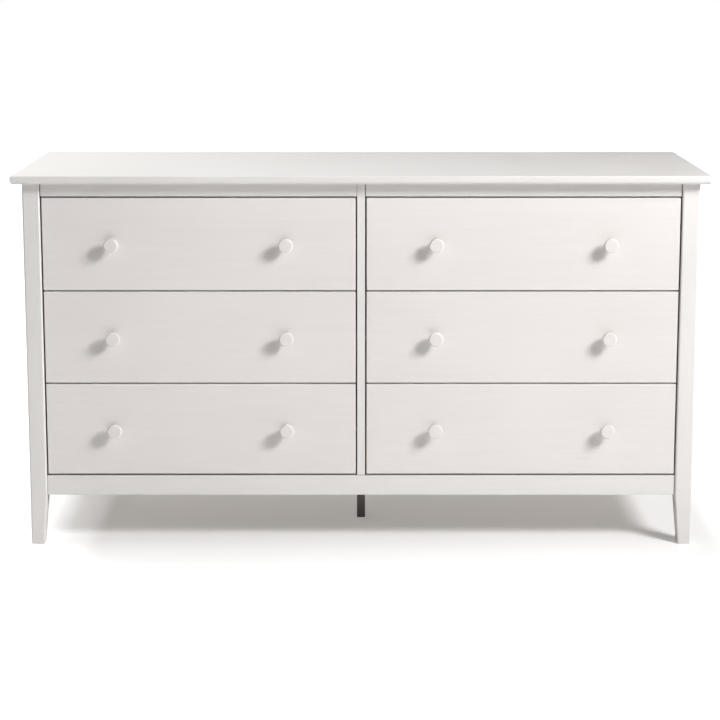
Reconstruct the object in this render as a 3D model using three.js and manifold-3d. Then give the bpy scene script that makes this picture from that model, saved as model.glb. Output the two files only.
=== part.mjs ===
// Six-drawer double dresser.
//
// A painted wooden case stands on four tapered corner legs and one dark centre leg. A
// centre divider makes two columns of three inset drawers with flat slab fronts and two
// turned knobs each. Every drawer is a grooved wooden box that hangs on two side runners.
//
// Millimetres, +Z up. The origin is on the floor below the middle of the top board, +X
// runs along the width and the drawers open towards -Y. Left and right are as seen by
// someone who faces the drawers.

import * as THREE from 'three';
import { mergeVertices } from 'three/addons/utils/BufferGeometryUtils.js';
import Module from 'manifold-3d';

// Overall size: the top board's outline and its height above the floor.
const overallWidth = 1524;
const overallDepth = 457;
const overallHeight = 838;

// Top board. Its front and side edges have a small radius above and a larger one below.
const topThickness = 19;
const topUpperRadius = 3;
const topLowerRadius = 8;
const topRadiusSteps = 3;
const sideOverhang = 21;
const frontOverhang = 25;
const backOverhang = 8;

// Corner legs: square above the bottom rails, tapered on the two inner faces below them.
const legWidth = 38;
const legFootWidth = 29;
const legEase = 4;
const easeSteps = 3;

// Case.
const floorClearance = 113;
const sideThickness = 15;
const sideRecess = 5;
const dividerThickness = 18;
const railThickness = 19;
const topRailHeight = 30;
const bottomRailHeight = 46;
const railSetback = 4.5;
const openJoint = 1.5;
const backThickness = 5;
const backRecess = 3;
const rearStileWidth = 38;
const stretcherWidth = 45;
const stretcherHeight = 24;

// Centre leg, behind the bottom rail.
const centreLegWidth = 19;
const centreLegDepth = 38;
const centreLegSetback = 182;

// Drawers.
const rowNames = ['lower', 'middle', 'upper'];
const drawerGap = 3;
const frontThickness = 19;
const frontEase = 1.5;
const boxWall = 15;
const boxSideClearance = 5;
const boxRearClearance = 8;
const boxRise = 12;
const boxDrop = 24;
const bottomThickness = 5;
const bottomRise = 8;
const bottomGrooveDepth = 6;

// Side runners, and the clearances of the grooves that slide on them.
const runnerThickness = 12;
const runnerHeight = 12;
const runnerStart = 2;
const runnerHeightClearance = 0.5;
const runnerDepthClearance = 0.7;

// Knobs: a foot on the drawer front, a waist, and a head with a straight rim, a small
// rounded shoulder and a flat face.
const knobInset = 153;
const knobFootRadius = 9.5;
const knobFootHeight = 3;
const knobWaistRadius = 7;
const knobWaistHeight = 9;
const knobHeadRadius = 16;
const knobRimHeight = 19;
const knobRimWidth = 3.5;
const knobFaceRadius = 13.5;
const knobProjection = 25;
const knobSegments = 20;
const shoulderSteps = 4;

// Fitted faces stand this far apart.
const glueLine = 0.3;

// Places that several pieces share.
const halfWidth = overallWidth / 2;
const frontEdge = -overallDepth / 2;
const backEdge = overallDepth / 2;
const underTop = overallHeight - topThickness;
const caseTop = underTop - glueLine;
const legOuter = halfWidth - sideOverhang;
const legInner = legOuter - legWidth;
const legFront = frontEdge + frontOverhang;
const legBack = backEdge - backOverhang;
const caseFront = legFront + railSetback;
const railBack = caseFront + railThickness;
const bottomRailTop = floorClearance + bottomRailHeight;
const topRailUnderside = underTop - topRailHeight;
const backPanelBack = legBack - backRecess;
const backPanelFront = backPanelBack - backThickness;
const rearRailBack = backPanelFront - glueLine;
const rearRailFront = rearRailBack - railThickness;
const dividerBack = rearRailFront - glueLine;
const dividerFace = dividerThickness / 2;
const betweenLegs = legInner - glueLine;

const paint = { color: 0xece7e5, roughness: 0.42, metalness: 0 };
const drawerWood = { color: 0xd9bd91, roughness: 0.65, metalness: 0 };
const plywood = { color: 0xcbb38a, roughness: 0.75, metalness: 0 };
const darkPaint = { color: 0x3b3635, roughness: 0.6, metalness: 0 };

const wasm = await Module();
wasm.setup();

// A closed geometry as a solid that can be cut.
function solidOf(geometry) {
  const bare = geometry.clone();
  bare.deleteAttribute('normal');
  bare.deleteAttribute('uv');
  const merged = mergeVertices(bare);
  return new wasm.Manifold(new wasm.Mesh({
    numProp: 3,
    vertProperties: new Float32Array(merged.getAttribute('position').array),
    triVerts: new Uint32Array(merged.getIndex().array),
  }));
}

// A solid as a geometry again.
function geometryOf(solid) {
  const mesh = solid.getMesh();
  const result = new THREE.BufferGeometry();
  result.setAttribute('position', new THREE.BufferAttribute(mesh.vertProperties, 3));
  result.setIndex(new THREE.BufferAttribute(mesh.triVerts, 1));
  result.computeVertexNormals();
  return result;
}

// What is left of a geometry once each cutter has been taken away.
function cut(geometry, ...cutters) {
  const whole = solidOf(geometry);
  return geometryOf(cutters.reduce((rest, cutter) => rest.subtract(solidOf(cutter)), whole));
}

// What two geometries have in common.
function overlap(first, second) {
  return geometryOf(solidOf(first).intersect(solidOf(second)));
}

// A square-edged board that fills three ranges.
function board([x0, x1], [y0, y1], [z0, z1]) {
  const geometry = new THREE.BoxGeometry(x1 - x0, y1 - y0, z1 - z0);
  geometry.translate((x0 + x1) / 2, (y0 + y1) / 2, (z0 + z1) / 2);
  return geometry;
}

// The range between two distances from the middle, on the side -1 or +1.
function onSide(side, near, far) {
  return side > 0 ? [near, far] : [-far, -near];
}

function outlineThrough(points) {
  return new THREE.Shape(points.map(([x, y]) => new THREE.Vector2(x, y)));
}

function rectangle([x0, x1], [y0, y1]) {
  return outlineThrough([[x0, y0], [x1, y0], [x1, y1], [x0, y1]]);
}

function makePiece(parent, name, geometry, finish) {
  const piece = new THREE.Mesh(geometry, new THREE.MeshStandardMaterial(finish));
  piece.name = name;
  parent.add(piece);
}

// A slab on the top board's outline, rounded all round and longer than the board at the back.
function roundedSlab(radius, [z0, z1]) {
  const outline = rectangle(
    [-halfWidth + radius, halfWidth - radius],
    [frontEdge + radius, backEdge + topThickness],
  );
  const slab = new THREE.ExtrudeGeometry(outline, {
    depth: z1 - z0 - 2 * radius,
    bevelThickness: radius,
    bevelSize: radius,
    bevelSegments: topRadiusSteps,
  });
  slab.translate(0, 0, z0 + radius);
  return slab;
}

// Two thicker slabs share the board: one has its upper edge and the other its lower edge. The
// back is cut straight and square.
function topPanel() {
  const upper = roundedSlab(topUpperRadius, [underTop - topThickness, overallHeight]);
  const lower = roundedSlab(topLowerRadius, [underTop, overallHeight + topThickness]);
  const offcut = board(
    [-overallWidth, overallWidth],
    [backEdge, backEdge + overallDepth],
    [0, 2 * overallHeight],
  );
  return cut(overlap(upper, lower), offcut);
}

// Side is -1 on the left and +1 on the right. End is -1 at the front and +1 at the back.
// The foot shrinks towards the outer corner, so that only the two inner faces taper.
function cornerLeg(side, end) {
  const outerX = side * legOuter;
  const outerY = end < 0 ? legFront : legBack;
  const [x0, x1] = onSide(side, legInner, legOuter);
  const [y0, y1] = end < 0 ? [legFront, legFront + legWidth] : [legBack - legWidth, legBack];
  const outline = new THREE.Shape();
  outline.absarc(x1 - legEase, y0 + legEase, legEase, -Math.PI / 2, 0);
  outline.absarc(x1 - legEase, y1 - legEase, legEase, 0, Math.PI / 2);
  outline.absarc(x0 + legEase, y1 - legEase, legEase, Math.PI / 2, Math.PI);
  outline.absarc(x0 + legEase, y0 + legEase, legEase, Math.PI, Math.PI * 1.5);

  const leg = new THREE.ExtrudeGeometry(outline, {
    depth: caseTop,
    steps: 2,
    bevelEnabled: false,
    curveSegments: easeSteps,
  });
  const points = leg.getAttribute('position');
  const footShare = legFootWidth / legWidth;
  for (let i = 0; i < points.count; i += 1) {
    const z = points.getZ(i);
    if (z === 0) {
      points.setX(i, outerX + (points.getX(i) - outerX) * footShare);
      points.setY(i, outerY + (points.getY(i) - outerY) * footShare);
    } else if (z < caseTop * 0.75) {
      points.setZ(i, floorClearance);
    }
  }
  return leg;
}

// A drawer front: flat, with its edges eased, and a groove in its back for the bottom board.
function drawerFront(spanX, spanZ, groove) {
  const face = rectangle(
    [spanX[0] + frontEase, spanX[1] - frontEase],
    [spanZ[0] + frontEase, spanZ[1] - frontEase],
  );
  const slab = new THREE.ExtrudeGeometry(face, {
    depth: frontThickness - 2 * frontEase,
    bevelThickness: frontEase,
    bevelSize: frontEase,
    bevelSegments: 1,
  });
  slab.rotateX(Math.PI / 2);
  slab.translate(0, caseFront + frontThickness - frontEase, 0);
  return cut(slab, groove);
}

// Two sides and a back in one U. The sides are grooved outside for the runners, and all
// three walls are grooved inside for the bottom board.
function drawerBox([x0, x1], [y0, y1], [z0, z1], cutters) {
  const walls = outlineThrough([
    [x0, y0],
    [x0 + boxWall, y0],
    [x0 + boxWall, y1 - boxWall],
    [x1 - boxWall, y1 - boxWall],
    [x1 - boxWall, y0],
    [x1, y0],
    [x1, y1],
    [x0, y1],
  ]);
  const box = new THREE.ExtrudeGeometry(walls, { depth: z1 - z0, bevelEnabled: false });
  box.translate(0, 0, z0);
  return cut(box, ...cutters);
}

// A knob that points towards -Y, with the middle of its foot at the given place.
function knob(x, y, z) {
  const profile = [
    new THREE.Vector2(0, 0),
    new THREE.Vector2(knobFootRadius, 0),
    new THREE.Vector2(knobFootRadius, knobFootHeight),
    new THREE.Vector2(knobWaistRadius, (knobFootHeight + knobWaistHeight) / 2),
    new THREE.Vector2(knobWaistRadius, knobWaistHeight),
    new THREE.Vector2(knobHeadRadius, knobRimHeight),
  ];
  const shoulderHeight = knobRimHeight + knobRimWidth;
  for (let step = 0; step <= shoulderSteps; step += 1) {
    const turn = (step / shoulderSteps) * (Math.PI / 2);
    profile.push(new THREE.Vector2(
      knobFaceRadius + (knobHeadRadius - knobFaceRadius) * Math.cos(turn),
      shoulderHeight + (knobProjection - shoulderHeight) * Math.sin(turn),
    ));
  }
  profile.push(new THREE.Vector2(0, knobProjection));
  const turned = new THREE.LatheGeometry(profile, knobSegments);
  turned.rotateX(Math.PI);
  turned.translate(x, y, z);
  return turned;
}

// The top, the five legs and the painted boards of the case.
function makeCase(parent) {
  makePiece(parent, 'top_panel', topPanel(), paint);
  makePiece(parent, 'front_leg_left', cornerLeg(-1, -1), paint);
  makePiece(parent, 'front_leg_right', cornerLeg(1, -1), paint);
  makePiece(parent, 'rear_leg_left', cornerLeg(-1, 1), paint);
  makePiece(parent, 'rear_leg_right', cornerLeg(1, 1), paint);

  const fullHeight = [floorClearance, caseTop];
  const sideDepth = [legFront + legWidth + glueLine, legBack - legWidth - glueLine];
  const sideOuter = legOuter - sideRecess;
  for (const [name, side] of [['left', -1], ['right', 1]]) {
    const sideRange = onSide(side, sideOuter - sideThickness, sideOuter);
    makePiece(parent, `side_panel_${name}`, board(sideRange, sideDepth, fullHeight), paint);
  }

  // The left top rail is tight against the divider. Its other joints stand slightly open.
  const frontRail = [caseFront, railBack];
  const topRail = [topRailUnderside, caseTop];
  const leftRail = [-legInner + openJoint, -dividerFace - glueLine];
  const rightRail = [dividerFace + openJoint, legInner - openJoint];
  makePiece(parent, 'top_rail_left', board(leftRail, frontRail, topRail), paint);
  makePiece(parent, 'top_rail_right', board(rightRail, frontRail, topRail), paint);

  const railWidth = [-betweenLegs, betweenLegs];
  const bottomRail = [floorClearance, bottomRailTop];
  makePiece(parent, 'bottom_rail', board(railWidth, frontRail, bottomRail), paint);

  const dividerWidth = [-dividerFace, dividerFace];
  const dividerDepth = [caseFront, dividerBack];
  const dividerHeight = [bottomRailTop + glueLine, caseTop];
  makePiece(parent, 'centre_divider', board(dividerWidth, dividerDepth, dividerHeight), paint);

  const stretcherRange = [-stretcherWidth / 2, stretcherWidth / 2];
  const stretcherDepth = [railBack + glueLine, dividerBack];
  const stretcherSpan = [bottomRailTop - stretcherHeight, bottomRailTop];
  const stretcher = board(stretcherRange, stretcherDepth, stretcherSpan);
  makePiece(parent, 'centre_stretcher', stretcher, drawerWood);

  const legRange = [-centreLegWidth / 2, centreLegWidth / 2];
  const centreLegFront = legFront + centreLegSetback;
  const centreLegRange = [centreLegFront, centreLegFront + centreLegDepth];
  const centreLegHeight = [0, bottomRailTop - stretcherHeight - glueLine];
  makePiece(parent, 'centre_leg', board(legRange, centreLegRange, centreLegHeight), darkPaint);
}

// Two rails and a stile carry the two thin back panels between the rear legs.
function makeBack(parent) {
  const rearRail = [rearRailFront, rearRailBack];
  const railWidth = [-betweenLegs, betweenLegs];
  const upper = board(railWidth, rearRail, [topRailUnderside, caseTop]);
  const lower = board(railWidth, rearRail, [floorClearance, bottomRailTop]);
  makePiece(parent, 'rear_top_rail', upper, drawerWood);
  makePiece(parent, 'rear_bottom_rail', lower, drawerWood);

  const stileWidth = [-rearStileWidth / 2, rearStileWidth / 2];
  const stileHeight = [bottomRailTop + glueLine, topRailUnderside - glueLine];
  makePiece(parent, 'rear_centre_stile', board(stileWidth, rearRail, stileHeight), drawerWood);

  const panelDepth = [backPanelFront, backPanelBack];
  for (const [name, side] of [['left', -1], ['right', 1]]) {
    const panelWidth = onSide(side, glueLine, betweenLegs);
    const panel = board(panelWidth, panelDepth, [floorClearance, caseTop]);
    makePiece(parent, `back_panel_${name}`, panel, plywood);
  }
}

// One drawer with its two runners. The runners are fixed to the legs and to the divider.
function makeDrawer(parent, columnName, side, row) {
  const name = `${rowNames[row]}_${columnName}`;
  const rows = rowNames.length;
  const opening = topRailUnderside - bottomRailTop;
  const frontHeight = (opening - drawerGap * (rows + 1)) / rows;
  const frontBottom = bottomRailTop + drawerGap + row * (frontHeight + drawerGap);
  const frontRange = onSide(side, dividerFace + drawerGap, legInner - drawerGap);
  const frontSpan = [frontBottom, frontBottom + frontHeight];

  const frontBack = caseFront + frontThickness;
  const [boxX0, boxX1] = onSide(
    side,
    dividerFace + boxSideClearance,
    legInner - boxSideClearance,
  );
  const boxDepth = [frontBack + glueLine, rearRailFront - boxRearClearance];
  const boxSpan = [frontBottom + boxRise, frontBottom + frontHeight - boxDrop];

  const runnerMiddle = (boxSpan[0] + boxSpan[1]) / 2;
  const runnerSpan = [runnerMiddle - runnerHeight / 2, runnerMiddle + runnerHeight / 2];
  const grooveSpan = [
    runnerSpan[0] - runnerHeightClearance,
    runnerSpan[1] + runnerHeightClearance,
  ];
  const grooveDepth = glueLine + runnerThickness - boxSideClearance + runnerDepthClearance;
  const throughDepth = [boxDepth[0] - boxWall, boxDepth[1] + boxWall];

  const bottomZ = boxSpan[0] + bottomRise;
  const slotBack = boxDepth[1] - boxWall + bottomGrooveDepth;
  const bottomSlot = board(
    [boxX0 + boxWall - bottomGrooveDepth, boxX1 - boxWall + bottomGrooveDepth],
    [frontBack - bottomGrooveDepth, slotBack],
    [bottomZ, bottomZ + bottomThickness + 2 * glueLine],
  );
  const bottomBoard = board(
    [
      boxX0 + boxWall - bottomGrooveDepth + glueLine,
      boxX1 - boxWall + bottomGrooveDepth - glueLine,
    ],
    [frontBack - bottomGrooveDepth + glueLine, slotBack - glueLine],
    [bottomZ + glueLine, bottomZ + glueLine + bottomThickness],
  );

  const box = drawerBox([boxX0, boxX1], boxDepth, boxSpan, [
    board([boxX0 - boxWall, boxX0 + grooveDepth], throughDepth, grooveSpan),
    board([boxX1 - grooveDepth, boxX1 + boxWall], throughDepth, grooveSpan),
    bottomSlot,
  ]);
  makePiece(parent, `${name}_drawer_front`, drawerFront(frontRange, frontSpan, bottomSlot), paint);
  makePiece(parent, `${name}_drawer_box`, box, drawerWood);
  makePiece(parent, `${name}_drawer_bottom`, bottomBoard, plywood);

  const knobZ = frontBottom + frontHeight / 2;
  const knobY = caseFront - glueLine;
  makePiece(parent, `${name}_knob_left`, knob(frontRange[0] + knobInset, knobY, knobZ), paint);
  makePiece(parent, `${name}_knob_right`, knob(frontRange[1] - knobInset, knobY, knobZ), paint);

  const innerFace = dividerFace + glueLine;
  const innerRunner = board(
    onSide(side, innerFace, innerFace + runnerThickness),
    [frontBack + runnerStart, dividerBack],
    runnerSpan,
  );
  const outerRunner = board(
    onSide(side, betweenLegs - runnerThickness, betweenLegs),
    [frontBack + runnerStart, rearRailBack],
    runnerSpan,
  );
  makePiece(parent, `${name}_runner_inner`, innerRunner, drawerWood);
  makePiece(parent, `${name}_runner_outer`, outerRunner, drawerWood);
}

const dresser = new THREE.Group();
makeCase(dresser);
makeBack(dresser);
for (let row = 0; row < rowNames.length; row += 1) {
  makeDrawer(dresser, 'left', -1, row);
  makeDrawer(dresser, 'right', 1, row);
}

export default dresser;
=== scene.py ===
from math import pi, radians

import bmesh
import bpy
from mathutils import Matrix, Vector


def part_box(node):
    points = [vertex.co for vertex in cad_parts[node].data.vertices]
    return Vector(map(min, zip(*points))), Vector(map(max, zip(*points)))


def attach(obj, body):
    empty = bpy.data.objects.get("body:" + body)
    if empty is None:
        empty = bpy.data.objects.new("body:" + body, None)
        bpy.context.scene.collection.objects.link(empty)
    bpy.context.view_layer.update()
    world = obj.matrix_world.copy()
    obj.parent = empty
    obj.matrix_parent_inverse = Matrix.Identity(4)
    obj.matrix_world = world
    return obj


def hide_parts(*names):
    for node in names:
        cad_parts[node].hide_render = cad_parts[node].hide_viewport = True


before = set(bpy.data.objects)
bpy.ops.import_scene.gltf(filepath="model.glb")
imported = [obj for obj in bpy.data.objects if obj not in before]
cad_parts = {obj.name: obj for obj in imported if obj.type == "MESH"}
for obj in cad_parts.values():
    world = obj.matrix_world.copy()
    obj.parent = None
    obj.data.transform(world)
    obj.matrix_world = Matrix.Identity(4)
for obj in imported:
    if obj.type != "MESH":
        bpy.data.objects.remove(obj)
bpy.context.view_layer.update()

mm = 0.001
rows = ["lower", "middle", "upper"]
sides = {"left": -1, "right": 1}    # which way each side lies along X
near = 0.05 * mm    # points and edges closer together than this count as level
print("frame loaded")


# small helpers for the modelling

def deselectAll():
    if bpy.context.object and bpy.context.object.mode != "OBJECT":
        bpy.ops.object.mode_set(mode="OBJECT")
    bpy.ops.object.select_all(action="DESELECT")


def makeActive(piece):
    deselectAll()
    piece.select_set(True)
    bpy.context.view_layer.objects.active = piece


def applyPlace(piece):
    # the place, turn and size go into the mesh
    makeActive(piece)
    bpy.ops.object.transform_apply(location=True, rotation=True, scale=True)


def startBoard(name, low, high):
    deselectAll()
    low, high = Vector(low), Vector(high)
    bpy.ops.mesh.primitive_cube_add(size=1, location=(low + high) / 2, scale=high - low)
    piece = bpy.context.object
    piece.name = name
    applyPlace(piece)
    return piece


def editMode(piece, kind):
    makeActive(piece)
    bpy.ops.object.mode_set(mode="EDIT")
    bpy.ops.mesh.select_mode(type=kind)
    bpy.ops.mesh.select_all(action="DESELECT")


def selectEdges(piece, wanted):
    editMode(piece, "EDGE")
    shape = bmesh.from_edit_mesh(piece.data)
    for edge in shape.edges:
        edge.select_set(wanted(edge.verts[0].co, edge.verts[1].co))
    bmesh.update_edit_mesh(piece.data)


def selectPoints(piece, wanted):
    editMode(piece, "VERT")
    shape = bmesh.from_edit_mesh(piece.data)
    for point in shape.verts:
        point.select_set(wanted(point.co))
    shape.select_flush_mode()
    bmesh.update_edit_mesh(piece.data)


def selectFaces(piece, wanted):
    editMode(piece, "FACE")
    shape = bmesh.from_edit_mesh(piece.data)
    for face in shape.faces:
        face.select_set(wanted(face.calc_center_median(), face.normal))
    bmesh.update_edit_mesh(piece.data)


def roundSelected(radius, steps):
    bpy.ops.mesh.bevel(offset=radius, segments=steps, profile=0.5, affect="EDGES")
    bpy.ops.object.mode_set(mode="OBJECT")


def easeAll(piece, radius, steps=2):
    selectEdges(piece, lambda a, b: True)
    roundSelected(radius, steps)


def smooth(piece, degrees=40):
    # flat faces stay flat in the shading, and only the eased edges turn
    makeActive(piece)
    bpy.ops.object.shade_smooth_by_angle(angle=radians(degrees))
    bpy.ops.object.modifier_add(type="WEIGHTED_NORMAL")
    piece.modifiers[-1].keep_sharp = True
    bpy.ops.object.modifier_apply(modifier=piece.modifiers[-1].name)


def cutWith(piece, cutters, operation="DIFFERENCE"):
    for cutter in cutters:
        makeActive(piece)
        bpy.ops.object.modifier_add(type="BOOLEAN")
        tool = piece.modifiers[-1]
        tool.operation, tool.object, tool.solver = operation, cutter, "EXACT"
        bpy.ops.object.modifier_apply(modifier=tool.name)
    for cutter in cutters:
        bpy.data.objects.remove(cutter)


def duplicate(piece, name):
    copied = piece.copy()
    copied.data = piece.data.copy()
    copied.name = name
    bpy.context.scene.collection.objects.link(copied)
    return copied


def copyPiece(piece, name, move):
    copied = duplicate(piece, name)
    copied.location = move
    applyPlace(copied)
    return copied


def joinPieces(parts, name):
    deselectAll()
    for part in parts:
        part.select_set(True)
    bpy.context.view_layer.objects.active = parts[0]
    bpy.ops.object.join()
    parts[0].name = name
    return parts[0]


def spacedOut(first, last, count):
    return [first + (last - first) * i / (count - 1) for i in range(count)]


def finishPiece(piece, finish, body, slotName, *nodes):
    piece.data.materials.clear()
    piece.data.materials.append(finish)
    if nodes:
        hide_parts(*nodes)
    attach(piece, body)


def coatFaces(piece, finish, wanted):
    # a second finish on the faces that lie inside the gaps, the dark coat of painted shade there
    selectFaces(piece, wanted)
    piece.data.materials.append(finish)
    piece.active_material_index = len(piece.data.materials) - 1
    bpy.ops.object.material_slot_assign()
    bpy.ops.object.mode_set(mode="OBJECT")


# finishes

def newFinish(name, specular):
    finish = bpy.data.materials.new(name)
    finish.use_nodes = True
    shader = finish.node_tree.nodes["Principled BSDF"]
    shader.inputs["Specular IOR Level"].default_value = specular
    return finish, finish.node_tree, shader


def place(tree, stretch, shift=0.0):
    where = tree.nodes.new("ShaderNodeTexCoord")
    mapping = tree.nodes.new("ShaderNodeMapping")
    mapping.inputs["Scale"].default_value = stretch
    mapping.inputs["Location"].default_value = (shift, shift, shift)
    tree.links.new(where.outputs["Object"], mapping.inputs["Vector"])
    return mapping.outputs["Vector"]


def noise(tree, vector, scale, detail=3.0, roughness=0.5, distortion=0.0):
    node = tree.nodes.new("ShaderNodeTexNoise")
    node.inputs["Scale"].default_value = scale
    node.inputs["Detail"].default_value = detail
    node.inputs["Roughness"].default_value = roughness
    node.inputs["Distortion"].default_value = distortion
    tree.links.new(vector, node.inputs["Vector"])
    return node.outputs["Fac"]


def ramp(tree, value, stops):
    node = tree.nodes.new("ShaderNodeValToRGB")
    while len(node.color_ramp.elements) < len(stops):
        node.color_ramp.elements.new(0.5)
    for element, (position, colour) in zip(node.color_ramp.elements, stops):
        element.position, element.color = position, (*colour, 1)
    tree.links.new(value, node.inputs["Fac"])
    return node.outputs["Color"]


def multiply(tree, first, second, share=1.0):
    node = tree.nodes.new("ShaderNodeMix")
    node.data_type, node.blend_type = "RGBA", "MULTIPLY"
    node.inputs["Factor"].default_value = share
    tree.links.new(first, node.inputs["A"])
    tree.links.new(second, node.inputs["B"])
    return node.outputs["Result"]


def spread(tree, value, low, high):
    node = tree.nodes.new("ShaderNodeMapRange")
    node.inputs["From Min"].default_value = 0.3
    node.inputs["From Max"].default_value = 0.7
    node.inputs["To Min"].default_value = low
    node.inputs["To Max"].default_value = high
    tree.links.new(value, node.inputs["Value"])
    return node.outputs["Result"]


def bump(tree, shader, heights):
    normal = None
    for value, strength, distance in heights:
        node = tree.nodes.new("ShaderNodeBump")
        node.inputs["Strength"].default_value = strength
        node.inputs["Distance"].default_value = distance
        tree.links.new(value, node.inputs["Height"])
        if normal:
            tree.links.new(normal, node.inputs["Normal"])
        normal = node.outputs["Normal"]
    tree.links.new(normal, shader.inputs["Normal"])


def along(axis, fine, coarse):
    # a stretch that is coarse along the grain and fine across it
    return tuple(coarse if letter == axis else fine for letter in "xyz")


whitePaint = {
    "specular": 0.45, "roughness": (0.34, 0.47),
    # the dull and the clean tone of each coat
    "case": [(0.775, 0.752, 0.733), (0.815, 0.795, 0.777)],
    "front": [(0.782, 0.739, 0.722), (0.822, 0.782, 0.765)],
    # the third, dark coat is painted shade for the faces that lie inside the gaps
    "paintedGapShade": [(0.30, 0.285, 0.27), (0.36, 0.345, 0.33)],
    # how fine each pattern is, from the broad clouds down to the stipple of the roller
    "cloud": 2.3, "sheenPatches": 9, "streaks": 130, "stipple": 900,
    "streakStretch": 0.045, "streakTone": (0.965, 0.962, 0.96),
    "grainBump": 0.10, "stippleBump": 0.07,
}


def paintFinish(axis, coat):
    finish, tree, shader = newFinish(f"satin_white_{coat}_{axis}", whitePaint["specular"])
    dull, clean = whitePaint[coat]
    even = place(tree, (1, 1, 1))
    cloud = noise(tree, even, whitePaint["cloud"], 4)
    tint = ramp(tree, cloud, [(0.3, dull), (0.7, clean)])
    grain = place(tree, along(axis, 1, whitePaint["streakStretch"]))
    streaks = noise(tree, grain, whitePaint["streaks"], 4, 0.6)
    streakTint = ramp(tree, streaks, [(0.25, whitePaint["streakTone"]), (0.75, (1, 1, 1))])
    tree.links.new(multiply(tree, tint, streakTint), shader.inputs["Base Color"])
    sheen = spread(tree, noise(tree, even, whitePaint["sheenPatches"], 3), *whitePaint["roughness"])
    tree.links.new(sheen, shader.inputs["Roughness"])
    stipple = noise(tree, even, whitePaint["stipple"], 2)
    bump(tree, shader, [
        (streaks, whitePaint["grainBump"], 0.4 * mm),
        (stipple, whitePaint["stippleBump"], 0.2 * mm),
    ])
    return finish


woodFigure = {
    # the same for every wood: stretch of its rings and pores along the grain, depth and tone
    "ringStretch": 0.06, "poreStretch": 0.03, "ringBump": 0.08, "poreBump": 0.22,
    "poreTone": (0.78, 0.72, 0.66), "poreShare": 0.8, "patches": 4, "patchTone": (0.9, 0.88, 0.86),
}
drawerWood = {
    "specular": 0.35, "roughness": (0.62, 0.48),
    "dark": (0.47, 0.32, 0.18), "middle": (0.62, 0.45, 0.28), "pale": (0.74, 0.57, 0.38),
    "rings": 26, "pores": 520,
}


def woodFinish(name, axis, look, shift=0.0):
    # shift takes the figure from another stretch of the same wood
    finish, tree, shader = newFinish(name, look["specular"])
    grain = place(tree, along(axis, 1, woodFigure["ringStretch"]), shift)
    rings = noise(tree, grain, look["rings"], 5, 0.55, 0.8)
    broad = ramp(tree, rings, [(0.28, look["dark"]), (0.5, look["middle"]), (0.72, look["pale"])])
    pores = noise(tree, place(tree, along(axis, 1, woodFigure["poreStretch"])), look["pores"], 2, 0.6)
    poreTint = ramp(tree, pores, [(0.34, woodFigure["poreTone"]), (0.5, (1, 1, 1))])
    patches = noise(tree, place(tree, (1, 1, 1)), woodFigure["patches"], 2)
    patchTint = ramp(tree, patches, [(0.3, woodFigure["patchTone"]), (0.7, (1, 1, 1))])
    colour = multiply(tree, multiply(tree, broad, poreTint, woodFigure["poreShare"]), patchTint)
    tree.links.new(colour, shader.inputs["Base Color"])
    tree.links.new(spread(tree, rings, *look["roughness"]), shader.inputs["Roughness"])
    bump(tree, shader, [
        (rings, woodFigure["ringBump"], 0.6 * mm),
        (pores, woodFigure["poreBump"], 0.3 * mm),
    ])
    return finish


plywood = {
    "specular": 0.3, "roughness": (0.73, 0.59),
    "dark": (0.55, 0.42, 0.28), "middle": (0.63, 0.50, 0.35), "pale": (0.70, 0.57, 0.42),
    "rings": 15, "pores": 420,
}
darkPaint = {
    "specular": 0.3, "roughness": (0.5, 0.66), "cloud": 14,
    "grain": 160, "grainStretch": 0.05, "grainBump": 0.2,
    "deep": (0.33, 0.300, 0.285), "worn": (0.50, 0.460, 0.440), "foot": (0.38, 0.38, 0.38),
}
zinc = {
    "specular": 0.5, "roughness": (0.28, 0.42), "cloud": 220, "grit": 1500, "gritBump": 0.1,
    "dull": (0.48, 0.48, 0.49), "bright": (0.66, 0.66, 0.67),
}


def darkFinish():
    finish, tree, shader = newFinish("black_brown_paint", darkPaint["specular"])
    even = place(tree, (1, 1, 1))
    cloud = noise(tree, even, darkPaint["cloud"], 5, 0.6)
    colour = ramp(tree, cloud, [(0.35, darkPaint["deep"]), (0.75, darkPaint["worn"])])
    # darker towards the foot of the leg
    parts = tree.nodes.new("ShaderNodeSeparateXYZ")
    tree.links.new(even, parts.inputs[0])
    rise = tree.nodes.new("ShaderNodeMapRange")
    rise.inputs["From Max"].default_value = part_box("centre_leg")[1].z
    tree.links.new(parts.outputs["Z"], rise.inputs["Value"])
    darker = ramp(tree, rise.outputs["Result"], [(0.1, darkPaint["foot"]), (0.95, (1, 1, 1))])
    tree.links.new(multiply(tree, colour, darker), shader.inputs["Base Color"])
    tree.links.new(spread(tree, cloud, *darkPaint["roughness"]), shader.inputs["Roughness"])
    upright = place(tree, along("z", 1, darkPaint["grainStretch"]))
    grain = noise(tree, upright, darkPaint["grain"], 4, 0.6)
    bump(tree, shader, [(grain, darkPaint["grainBump"], 0.5 * mm)])
    return finish


def zincFinish():
    finish, tree, shader = newFinish("zinc_plated_steel", zinc["specular"])
    shader.inputs["Metallic"].default_value = 1.0
    even = place(tree, (1, 1, 1))
    cloud = noise(tree, even, zinc["cloud"], 3)
    colour = ramp(tree, cloud, [(0.3, zinc["dull"]), (0.7, zinc["bright"])])
    tree.links.new(colour, shader.inputs["Base Color"])
    tree.links.new(spread(tree, cloud, *zinc["roughness"]), shader.inputs["Roughness"])
    bump(tree, shader, [(noise(tree, even, zinc["grit"], 2), zinc["gritBump"], 0.1 * mm)])
    return finish


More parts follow.
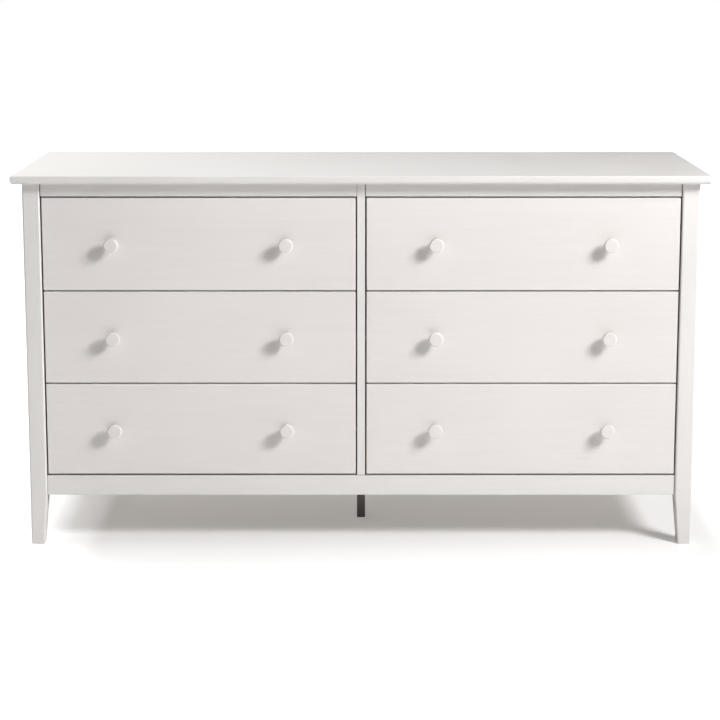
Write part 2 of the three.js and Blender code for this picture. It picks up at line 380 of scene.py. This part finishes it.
caseX, caseZ = paintFinish("x", "case"), paintFinish("z", "case")
frontX, knobPaint = paintFinish("x", "front"), paintFinish("y", "front")
# the dark coat that paints the shade inside the gaps
paintedGapShade = paintFinish("x", "paintedGapShade")
woodX, woodY, woodZ = (woodFinish("drawer_wood_" + axis, axis, drawerWood) for axis in "xyz")
plyX = woodFinish("birch_ply_x", "x", plywood)
plyLeft = woodFinish("birch_ply_left", "z", plywood)
plyRight = woodFinish("birch_ply_right", "z", plywood, shift=7.3)
blackPaint = darkFinish()
screwSteel = zincFinish()
print("finishes made")


# top board

topEdge = {
    "upperRadius": 3 * mm, "upperSteps": 4, "lowerRadius": 8 * mm, "lowerSteps": 6,
    "cornerRadius": 1.6 * mm, "cornerSteps": 3, "cornerReach": 20 * mm,
}


def makeTop():
    low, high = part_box("top_panel")
    top = startBoard("top_board", low, high)

    def roundRim(height, radius, steps):
        def onRim(a, b):
            level = abs(a.z - height) < near and abs(b.z - height) < near
            back = abs(a.y - high.y) < near and abs(b.y - high.y) < near
            return level and not back
        selectEdges(top, onRim)
        roundSelected(radius, steps)

    roundRim(high.z, topEdge["upperRadius"], topEdge["upperSteps"])
    roundRim(low.z, topEdge["lowerRadius"], topEdge["lowerSteps"])

    def onCorner(a, b):
        # the mitre at each front corner, from the upper face down to the lower one
        def onMitre(point):
            fromSide, fromFront = high.x - abs(point.x), point.y - low.y
            return abs(fromSide - fromFront) < near and fromFront < topEdge["cornerReach"]
        return onMitre(a) and onMitre(b) and abs(a.z - b.z) > near
    selectEdges(top, onCorner)
    roundSelected(topEdge["cornerRadius"], topEdge["cornerSteps"])
    smooth(top, degrees=50)
    finishPiece(top, caseX, "case", "white_paint", "top_panel")


makeTop()
print("top board made")


# corner legs

leg = {"ease": 4 * mm, "easeSteps": 5, "footWidth": 29 * mm, "footEase": 1.2 * mm, "footSteps": 2}


def makeLeg(node, side, end):
    low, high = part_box(node)
    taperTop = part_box("bottom_rail")[0].z
    piece = startBoard(node + "_post", low, high)
    editMode(piece, "VERT")
    bpy.ops.mesh.select_all(action="SELECT")
    bpy.ops.mesh.bisect(plane_co=(0, 0, taperTop), plane_no=(0, 0, 1))
    corner = (high.x if side > 0 else low.x, low.y if end < 0 else high.y, low.z)
    selectPoints(piece, lambda point: point.z < low.z + near)
    share = leg["footWidth"] / (high.x - low.x)
    bpy.ops.transform.resize(value=(share, share, 1), center_override=corner)
    bpy.ops.object.mode_set(mode="OBJECT")
    selectEdges(piece, lambda a, b: abs(a.z - b.z) > near)
    roundSelected(leg["ease"], leg["easeSteps"])
    selectEdges(piece, lambda a, b: a.z < low.z + near and b.z < low.z + near)
    roundSelected(leg["footEase"], leg["footSteps"])
    smooth(piece, degrees=35)
    finishPiece(piece, caseZ, "case", "white_paint", node)
    # the inner face above the taper gets the dark coat of painted shade for the gap beside the drawers
    coatFaces(piece, paintedGapShade, lambda middle, normal: normal.x * side < -0.99 and middle.z > taperTop)


for endName, end in (("front", -1), ("rear", 1)):
    for sideName, side in sides.items():
        makeLeg(endName + "_leg_" + sideName, side, end)
print("legs made")


# flat boards of the case: node, new name, finish, slot, eased radius in mm

flatBoards = [
    ("side_panel_left", "side_board_left", caseZ, "white_paint", 0.8),
    ("side_panel_right", "side_board_right", caseZ, "white_paint", 0.8),
    ("top_rail_left", "upper_rail_left", caseX, "white_paint", 1.0),
    ("top_rail_right", "upper_rail_right", caseX, "white_paint", 1.0),
    ("bottom_rail", "lower_rail", caseX, "white_paint", 1.4),
    ("centre_divider", "middle_divider", caseZ, "white_paint", 1.0),
    ("centre_stretcher", "middle_stretcher", woodY, "drawer_wood", 2.0),
    ("centre_leg", "middle_leg", blackPaint, "dark_paint", 1.6),
    ("rear_top_rail", "back_upper_rail", woodX, "drawer_wood", 1.2),
    ("rear_bottom_rail", "back_lower_rail", woodX, "drawer_wood", 1.2),
    ("rear_centre_stile", "back_stile", woodZ, "drawer_wood", 1.2),
    ("back_panel_left", "back_board_left", plyLeft, "plywood", 0.5),
    ("back_panel_right", "back_board_right", plyRight, "plywood", 0.5),
]

# the ways that the faces look which are hidden in the gaps and get the dark coat of painted shade
paintedGapShadeFaces = {
    "upper_rail_left": [(0, 0, -1)], "upper_rail_right": [(0, 0, -1)], "lower_rail": [(0, 0, 1)],
    "side_board_left": [(1, 0, 0)], "side_board_right": [(-1, 0, 0)],
    "middle_divider": [(1, 0, 0), (-1, 0, 0)],
}

for node, name, finish, slotName, radius in flatBoards:
    piece = startBoard(name, *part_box(node))
    easeAll(piece, radius * mm, 3)
    smooth(piece)
    finishPiece(piece, finish, "case", slotName, node)
    if name in paintedGapShadeFaces:
        ways = [Vector(way) for way in paintedGapShadeFaces[name]]
        # 0.6 takes in the part of the eased edges that turns the same way
        coatFaces(piece, paintedGapShade, lambda middle, normal: any(normal.dot(way) > 0.6 for way in ways))
print("case boards made")


# screws: one shape with a cross recess, copied wherever a screw goes

screw = {
    "headRadius": 3.6 * mm, "headDepth": 2.2 * mm, "sides": 24,
    "slotLength": 3.6 * mm, "slotWidth": 0.8 * mm, "slotDepth": 1.2 * mm, "slotAbove": 1 * mm,
    # the round of a domed head in shares of its depth, and the tip of a sunk one in shares of its radius
    "domeRound": 0.7, "domeSteps": 4, "tipShare": 0.5,
}


def makeScrew(domed):
    # the head looks along +Z with its rim at z = 0
    depth, share = screw["headDepth"], screw["tipShare"]
    deselectAll()
    bpy.ops.mesh.primitive_cylinder_add(
        vertices=screw["sides"], radius=screw["headRadius"], depth=depth,
        location=(0, 0, depth / 2 if domed else -depth / 2),
    )
    head = bpy.context.object
    applyPlace(head)
    if domed:
        selectEdges(head, lambda a, b: min(a.z, b.z) > depth - near)
        roundSelected(depth * screw["domeRound"], screw["domeSteps"])
    else:
        selectPoints(head, lambda point: point.z < near - depth)
        bpy.ops.transform.resize(value=(share, share, 1), center_override=(0, 0, -depth))
        bpy.ops.object.mode_set(mode="OBJECT")
    face = depth if domed else 0
    half, thin = screw["slotLength"] / 2, screw["slotWidth"] / 2
    floor, above = face - screw["slotDepth"], face + screw["slotAbove"]
    cutWith(head, [
        startBoard("slot", (-half, -thin, floor), (half, thin, above)),
        startBoard("slot", (-thin, -half, floor), (thin, half, above)),
    ])
    smooth(head, degrees=35)
    head.data.materials.clear()
    head.data.materials.append(screwSteel)
    return head


panScrew = makeScrew(True)
flatScrew = makeScrew(False)
panScrew.name, flatScrew.name = "pan_screw_pattern", "flat_screw_pattern"


def placeScrew(pattern, name, where, facing):
    # facing is the way the head looks
    copied = duplicate(pattern, name)
    copied.rotation_mode = "QUATERNION"
    copied.rotation_quaternion = Vector((0, 0, 1)).rotation_difference(Vector(facing))
    copied.location = where
    applyPlace(copied)
    return copied


backScrews = {"inset": 12 * mm, "across": 4, "up": 6}    # the counts take in the corner screws


def screwBack(side):
    low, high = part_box("back_panel_" + side)
    inset = backScrews["inset"]
    columns = spacedOut(low.x + inset, high.x - inset, backScrews["across"])
    heights = spacedOut(low.z + inset, high.z - inset, backScrews["up"])
    spots = [(x, z) for x in columns for z in (heights[0], heights[-1])]
    spots += [(x, z) for z in heights[1:-1] for x in (columns[0], columns[-1])]
    placed = [placeScrew(panScrew, "part", (x, high.y, z), (0, 1, 0)) for x, z in spots]
    joined = joinPieces(placed, "back_screws_" + side)
    finishPiece(joined, screwSteel, "case", "screw_steel")


for sideName in sides:
    screwBack(sideName)
print("back screws placed")


# runners, each with three countersunk screws

runner = {
    "ease": 1.2 * mm, "screws": 3, "screwInset": 45 * mm,
    "sink": 0.25 * mm, "sinkShare": 1.12,    # how deep a head sits, and its hole's size to the head's
}


def makeRunner(node, facing):
    low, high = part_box(node)
    piece = startBoard(node + "_strip", low, high)
    easeAll(piece, runner["ease"])
    face = high.x if facing > 0 else low.x
    middle = (low.z + high.z) / 2
    inset = runner["screwInset"]
    sinks, screws = [], []
    for y in spacedOut(low.y + inset, high.y - inset, runner["screws"]):
        deselectAll()
        bpy.ops.mesh.primitive_cone_add(
            vertices=screw["sides"], radius1=screw["headRadius"] * screw["tipShare"],
            radius2=screw["headRadius"] * runner["sinkShare"],
            depth=screw["headDepth"] + 2 * runner["sink"],
            rotation=(0, facing * pi / 2, 0), location=(face - facing * screw["headDepth"] / 2, y, middle),
        )
        sinks.append(bpy.context.object)
        applyPlace(sinks[-1])
        where = (face - facing * runner["sink"], y, middle)
        screws.append(placeScrew(flatScrew, "part", where, (facing, 0, 0)))
    cutWith(piece, sinks)
    smooth(piece)
    finishPiece(piece, woodY, "case", "drawer_wood", node)
    joined = joinPieces(screws, node + "_screws")
    finishPiece(joined, screwSteel, "case", "screw_steel")


for row in rows:
    for column, outward in sides.items():
        makeRunner(f"{row}_{column}_runner_inner", outward)
        makeRunner(f"{row}_{column}_runner_outer", -outward)
print("runners made")


# knob: drawn out ring by ring from the drawer front

knobShape = {
    "sides": 64,
    # height from the drawer front and radius, in mm: foot, cove, waist, flare, rim, face
    "rings": [
        (1.6, 9.5), (2.4, 9.3), (3.0, 8.7), (3.8, 7.8), (5.0, 7.2), (7.0, 7.0), (9.0, 7.3),
        (11.0, 8.3), (13.0, 10.2), (15.0, 12.6), (17.0, 14.8), (18.4, 15.7), (19.6, 16.0), (22.4, 15.95),
        (23.2, 15.75), (23.9, 15.3), (24.4, 14.7), (24.7, 14.0), (24.85, 13.0), (24.95, 10.5), (25.0, 6.0),
    ],
}


def makeKnob(node):
    low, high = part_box(node)
    x, z, y = (low.x + high.x) / 2, (low.z + high.z) / 2, high.y
    deselectAll()
    bpy.ops.mesh.primitive_circle_add(
        vertices=knobShape["sides"], radius=knobShape["rings"][0][1] * mm, fill_type="NGON",
        location=(x, y, z), rotation=(pi / 2, 0, 0),
    )
    piece = bpy.context.object
    applyPlace(piece)
    editMode(piece, "FACE")
    bpy.ops.mesh.select_all(action="SELECT")
    height, radius = 0, knobShape["rings"][0][1]
    for nextHeight, nextRadius in knobShape["rings"]:
        bpy.ops.mesh.extrude_region_move(
            TRANSFORM_OT_translate={"value": (0, -(nextHeight - height) * mm, 0), "orient_type": "GLOBAL"},
        )
        if nextRadius != radius:
            share = nextRadius / radius
            bpy.ops.transform.resize(value=(share, 1, share), center_override=(x, y - nextHeight * mm, z))
        height, radius = nextHeight, nextRadius
    bpy.ops.mesh.select_all(action="SELECT")
    bpy.ops.mesh.remove_doubles(threshold=1e-6)
    bpy.ops.mesh.normals_make_consistent(inside=False)
    bpy.ops.object.mode_set(mode="OBJECT")
    smooth(piece, degrees=45)
    return piece


# drawer: made once at the upper right and copied to the other five places

drawer = {
    "frontEase": 1.5 * mm, "frontSteps": 4, "wall": 15 * mm, "boardEase": 1.2 * mm, "boardSteps": 3,
    "groove": 8 * mm, "grooveHeight": 13 * mm, "slotSpare": 0.3 * mm, "bottomEase": 0.5 * mm,
    # corner joint: half heights of a pin at its narrow and wide ends, its gap, and its reach into the back
    "tails": 5, "pinNarrow": 4.0 * mm, "pinWide": 6.5 * mm, "jointGap": 0.12 * mm, "pinRoot": 4 * mm,
    "cutPast": 10 * mm, "pinPast": 1 * mm,    # how far the cutting shapes stand past the boards
}
washer = {"radius": 6 * mm, "thickness": 1.0 * mm, "sides": 40, "ease": 0.2 * mm}
pattern = "upper_right_"
boxLow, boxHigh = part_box(pattern + "drawer_box")
bottomLow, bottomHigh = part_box(pattern + "drawer_bottom")
runnerLow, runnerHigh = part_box(pattern + "runner_outer")
runnerMiddle = (runnerLow.z + runnerHigh.z) / 2


def bottomSlot():
    spare = Vector((drawer["slotSpare"],) * 3)
    return startBoard("slot", bottomLow - spare, bottomHigh + spare)


def runnerGroove(side):
    half, past = drawer["grooveHeight"] / 2, drawer["cutPast"]
    if side < 0:
        low, high = boxLow.x - past, boxLow.x + drawer["groove"]
    else:
        low, high = boxHigh.x - drawer["groove"], boxHigh.x + past
    return startBoard(
        "groove", (low, boxLow.y - past, runnerMiddle - half),
        (high, boxHigh.y + past, runnerMiddle + half),
    )


def pinWedge(side, z, gap):
    # narrow at the back face of the box and wide at the inner face of the back board
    # a wedge with a gap is the pin itself, and one without is the cut for it in the side board
    wall = drawer["wall"]
    past = 0 if gap else drawer["pinPast"]
    root = drawer["pinRoot"] if gap else 0
    if side < 0:
        low, high = boxLow.x - past, boxLow.x + wall + root
    else:
        low, high = boxHigh.x - wall - root, boxHigh.x + past
    wide, narrow = drawer["pinWide"] - gap, drawer["pinNarrow"] - gap
    wedge = startBoard("wedge", (low, boxHigh.y - wall, z - wide), (high, boxHigh.y + past, z + wide))
    selectPoints(wedge, lambda point: point.y > boxHigh.y - wall / 2)
    share = narrow / wide
    bpy.ops.transform.resize(value=(1, 1, share), center_override=(0, boxHigh.y, z))
    bpy.ops.object.mode_set(mode="OBJECT")
    return wedge


pinHeights = spacedOut(boxLow.z, boxHigh.z, drawer["tails"] + 1)[1:-1]


def makeDrawerSide(side, name):
    wall = drawer["wall"]
    inner = boxLow.x + wall if side < 0 else boxHigh.x - wall
    outer = boxLow.x if side < 0 else boxHigh.x
    low = (min(inner, outer), boxLow.y, boxLow.z)
    high = (max(inner, outer), boxHigh.y, boxHigh.z)
    piece = startBoard(name, low, high)
    selectEdges(piece, lambda a, b: abs(a.y - b.y) > wall)
    roundSelected(drawer["boardEase"], drawer["boardSteps"])
    wedges = [pinWedge(side, z, 0) for z in pinHeights]
    cutWith(piece, [*wedges, runnerGroove(side), bottomSlot()])
    smooth(piece)
    return piece


def makeDrawerBack(name):
    wall, gap = drawer["wall"], drawer["jointGap"]
    low = (boxLow.x + wall, boxHigh.y - wall, boxLow.z)
    high = (boxHigh.x - wall, boxHigh.y, boxHigh.z)
    piece = startBoard(name, low, high)
    selectEdges(piece, lambda a, b: abs(a.x - b.x) > wall)
    roundSelected(drawer["boardEase"], drawer["boardSteps"])
    pins = [pinWedge(side, z, gap) for side in (-1, 1) for z in pinHeights]
    cutWith(piece, pins, "UNION")
    cutWith(piece, [runnerGroove(-1), runnerGroove(1), bottomSlot()])
    smooth(piece)
    return piece


def makeDrawerFront(name):
    low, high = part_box(pattern + "drawer_front")
    piece = startBoard(name, low, high)
    easeAll(piece, drawer["frontEase"], drawer["frontSteps"])
    cutWith(piece, [bottomSlot()])
    smooth(piece)
    return piece


def makeBottomBoard(name):
    piece = startBoard(name, bottomLow, bottomHigh)
    easeAll(piece, drawer["bottomEase"])
    smooth(piece)
    return piece


def makeKnobScrew(node, name):
    # a domed head on a washer, behind the middle of the knob
    low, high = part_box(node)
    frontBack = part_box(pattern + "drawer_front")[1].y
    x, z = (low.x + high.x) / 2, (low.z + high.z) / 2
    deselectAll()
    bpy.ops.mesh.primitive_cylinder_add(
        vertices=washer["sides"], radius=washer["radius"], depth=washer["thickness"],
        location=(x, frontBack + washer["thickness"] / 2, z), rotation=(pi / 2, 0, 0),
    )
    disc = bpy.context.object
    applyPlace(disc)
    easeAll(disc, washer["ease"])
    smooth(disc)
    head = placeScrew(panScrew, "part", (x, frontBack + washer["thickness"], z), (0, 1, 0))
    return joinPieces([disc, head], name)


# each piece of the pattern drawer with its finish, its slot and the CAD nodes it stands for
made = {
    "front_panel": (makeDrawerFront(pattern + "front_panel"), frontX, "white_paint", ["drawer_front"]),
    "box_side_left": (makeDrawerSide(-1, pattern + "box_side_left"), woodY, "drawer_wood", ["drawer_box"]),
    "box_side_right": (makeDrawerSide(1, pattern + "box_side_right"), woodY, "drawer_wood", ["drawer_box"]),
    "box_back": (makeDrawerBack(pattern + "box_back"), woodX, "drawer_wood", ["drawer_box"]),
    "bottom_board": (makeBottomBoard(pattern + "bottom_board"), plyX, "plywood", ["drawer_bottom"]),
    "turned_knob_left": (makeKnob(pattern + "knob_left"), knobPaint, "knob_paint", ["knob_left"]),
    "turned_knob_right": (makeKnob(pattern + "knob_right"), knobPaint, "knob_paint", ["knob_right"]),
    "knob_screw_left": (
        makeKnobScrew(pattern + "knob_left", pattern + "knob_screw_left"), screwSteel, "screw_steel", []),
    "knob_screw_right": (
        makeKnobScrew(pattern + "knob_right", pattern + "knob_screw_right"), screwSteel, "screw_steel", []),
}
print("drawer pattern made")

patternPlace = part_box(pattern + "drawer_front")[0]
for row in rows:
    for column in sides:
        start = f"{row}_{column}_"
        if start == pattern:
            continue
        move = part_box(start + "drawer_front")[0] - patternPlace
        for name, (piece, finish, slotName, nodes) in made.items():
            copied = copyPiece(piece, start + name, move)
            finishPiece(copied, finish, start + "drawer", slotName, *[start + node for node in nodes])
for name, (piece, finish, slotName, nodes) in made.items():
    piece.name = pattern + name
    finishPiece(piece, finish, pattern + "drawer", slotName, *[pattern + node for node in nodes])
for spareShape in (panScrew, flatScrew):
    bpy.data.objects.remove(spareShape)
print("drawers placed")


# floor and light

stage = {
    "floorSize": 240, "floorGrey": 0.82, "floorRoughness": 0.9, "floorSpecular": 0.1,
    "domeRadius": 45,
    "worldColour": (1, 0.995, 0.99), "worldLight": 0.93, "worldBlend": 0.3,
    "sheetHeight": 0.2 * mm, "glowInset": 0.2, "glowReach": 0.8, "glowAcross": 2.5,
    # how bright the sheet is at each share of its reach
    "glowSteps": [(0.0, 0.25), (0.15, 0.23), (0.26, 0.36), (0.375, 0.42), (0.65, 0.56), (1.0, 1.0)],
}
softboxes = {
    # name: place, what it points at, its size, its power in watts, its spread in degrees, seen in gloss
    "key_softbox": ((3.0, -2.2, 2.9), (-1.6, 0, 0.2), (1.2, 1.2), 14.4, 70, True),
    "key_wide": ((2.3, -1.75, 2.3), (-1.0, 0, 0.4), (0.9, 0.9), 74.5, 180, False),
    "overhead_left": ((-1.5, 0.2, 2.4), (-1.3, 0.2, 0), (1.5, 1.2), 25.5, 180, False),
    "rear_wide": ((-1.8, 3.8, 1.5), (-0.2, 0, 0.838), (5.0, 1.8), 5.8, 180, True),
    "floor_bounce": ((0, -1.9, 0.04), (0, -0.2, 0.75), (3.2, 1.0), 11.6, 180, False),
}


def makeFloor():
    deselectAll()
    bpy.ops.mesh.primitive_plane_add(size=stage["floorSize"], location=(0, 0, 0))
    floor = bpy.context.object
    floor.name = "studio_floor"
    finish, tree, shader = newFinish("studio_floor_white", stage["floorSpecular"])
    shader.inputs["Roughness"].default_value = stage["floorRoughness"]
    shader.inputs["Base Color"].default_value = (*[stage["floorGrey"]] * 3, 1)
    floor.data.materials.append(finish)


def onlySeen(thing):
    # the camera sees it and it lights nothing
    thing.visible_diffuse = thing.visible_glossy = thing.visible_transmission = False
    thing.visible_volume_scatter = thing.visible_shadow = False


def newGlow(name):
    # a finish that only shines
    finish = bpy.data.materials.new(name)
    finish.use_nodes = True
    tree = finish.node_tree
    tree.nodes.remove(tree.nodes["Principled BSDF"])
    return finish, tree, tree.nodes.new("ShaderNodeEmission")


def makeGlowSheet():
    # a clear sheet just above the floor that paints light on it: its faint painted glow between the legs
    # lightens the shade there, and it grows to full white outside them, faster at the two ends, and on
    # the left from a little inside the leg
    deselectAll()
    bpy.ops.mesh.primitive_plane_add(size=stage["floorSize"], location=(0, 0, stage["sheetHeight"]))
    sheet = bpy.context.object
    sheet.name = "studio_glow_sheet"
    finish, tree, glow = newGlow("studio_glow")
    legLow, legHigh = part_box("front_leg_left")[0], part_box("rear_leg_right")[1]
    legLow.x += stage["glowInset"]
    middle, half = (legLow + legHigh) / 2, (legHigh - legLow) / 2
    vector = tree.nodes.new("ShaderNodeTexCoord").outputs["Object"]
    # the distance from the rectangle between the legs: the large third size leaves height out
    steps = [
        ("SUBTRACT", (middle.x, middle.y, 0)), ("ABSOLUTE", None),
        ("SUBTRACT", (half.x, half.y, stage["floorSize"])), ("MAXIMUM", (0, 0, 0)),
        ("MULTIPLY", (stage["glowAcross"], 1, 1)), ("LENGTH", None),
    ]
    for operation, amount in steps:
        node = tree.nodes.new("ShaderNodeVectorMath")
        node.operation = operation
        tree.links.new(vector, node.inputs[0])
        if amount is not None:
            node.inputs[1].default_value = amount
        vector = node.outputs["Value" if operation == "LENGTH" else "Vector"]
    fade = tree.nodes.new("ShaderNodeMapRange")
    fade.inputs["From Max"].default_value = stage["glowReach"]
    tree.links.new(vector, fade.inputs["Value"])
    stops = [(share, (bright,) * 3) for share, bright in stage["glowSteps"]]
    tree.links.new(ramp(tree, fade.outputs["Result"], stops), glow.inputs["Color"])
    both = tree.nodes.new("ShaderNodeAddShader")
    tree.links.new(glow.outputs["Emission"], both.inputs[0])
    tree.links.new(tree.nodes.new("ShaderNodeBsdfTransparent").outputs["BSDF"], both.inputs[1])
    tree.links.new(both.outputs["Shader"], tree.nodes["Material Output"].inputs["Surface"])
    sheet.data.materials.append(finish)
    onlySeen(sheet)


def makeDome():
    deselectAll()
    bpy.ops.mesh.primitive_uv_sphere_add(segments=32, ring_count=16, radius=stage["domeRadius"])
    dome = bpy.context.object
    dome.name = "studio_dome"
    finish, tree, glow = newGlow("studio_dome_white")
    tree.links.new(glow.outputs["Emission"], tree.nodes["Material Output"].inputs["Surface"])
    dome.data.materials.append(finish)
    onlySeen(dome)


def makeWorld():
    # the room is bright behind the dresser on its left, and dark in front and on its right
    world = bpy.data.worlds.new("studio")
    bpy.context.scene.world = world
    world.use_nodes = True
    tree = world.node_tree
    background = tree.nodes["Background"]
    background.inputs["Color"].default_value = (*stage["worldColour"], 1)
    parts = tree.nodes.new("ShaderNodeSeparateXYZ")
    tree.links.new(tree.nodes.new("ShaderNodeTexCoord").outputs["Generated"], parts.inputs[0])
    both = tree.nodes.new("ShaderNodeMath")
    both.operation = "MULTIPLY"
    blend = stage["worldBlend"]
    for number, (letter, dark, most) in enumerate((("X", blend, 1.0), ("Y", -blend, stage["worldLight"]))):
        rise = tree.nodes.new("ShaderNodeMapRange")
        rise.inputs["From Min"].default_value = dark
        rise.inputs["From Max"].default_value = -dark
        rise.inputs["To Max"].default_value = most
        tree.links.new(parts.outputs[letter], rise.inputs["Value"])
        tree.links.new(rise.outputs["Result"], both.inputs[number])
    tree.links.new(both.outputs["Value"], background.inputs["Strength"])


def addSoftbox(name, where, target, size, power, spreadDegrees, glossy):
    deselectAll()
    bpy.ops.object.light_add(type="AREA", location=where)
    lamp = bpy.context.object
    lamp.name = name
    lamp.data.shape = "RECTANGLE"
    lamp.data.size, lamp.data.size_y = size
    lamp.data.energy = power
    lamp.data.spread = radians(spreadDegrees)
    lamp.visible_camera, lamp.visible_glossy = False, glossy
    lamp.rotation_mode = "QUATERNION"
    lamp.rotation_quaternion = (Vector(target) - Vector(where)).to_track_quat("-Z", "Y")


makeFloor()
makeGlowSheet()
makeDome()
makeWorld()
for softboxName, softbox in softboxes.items():
    addSoftbox(softboxName, *softbox)
print("floor and lights made")


# camera

camera = {
    "height": 1.308, "distance": 3.635, "side": -0.0023, "tilt": 8.106,    # metres and degrees
    "lens": 84.06, "sensor": 36, "shift": -0.2274,
}


def makeCamera():
    deselectAll()
    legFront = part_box("front_leg_left")[0].y
    bpy.ops.object.camera_add(
        location=(camera["side"], legFront - camera["distance"], camera["height"]),
        rotation=(radians(90 - camera["tilt"]), 0, 0),
    )
    view = bpy.context.object
    view.data.sensor_width = camera["sensor"]
    view.data.lens = camera["lens"]
    view.data.shift_y = camera["shift"]
    bpy.context.scene.camera = view


makeCamera()
bpy.context.scene.view_settings.view_transform = "Standard"
bpy.context.scene.view_settings.look = "None"
print("camera made")
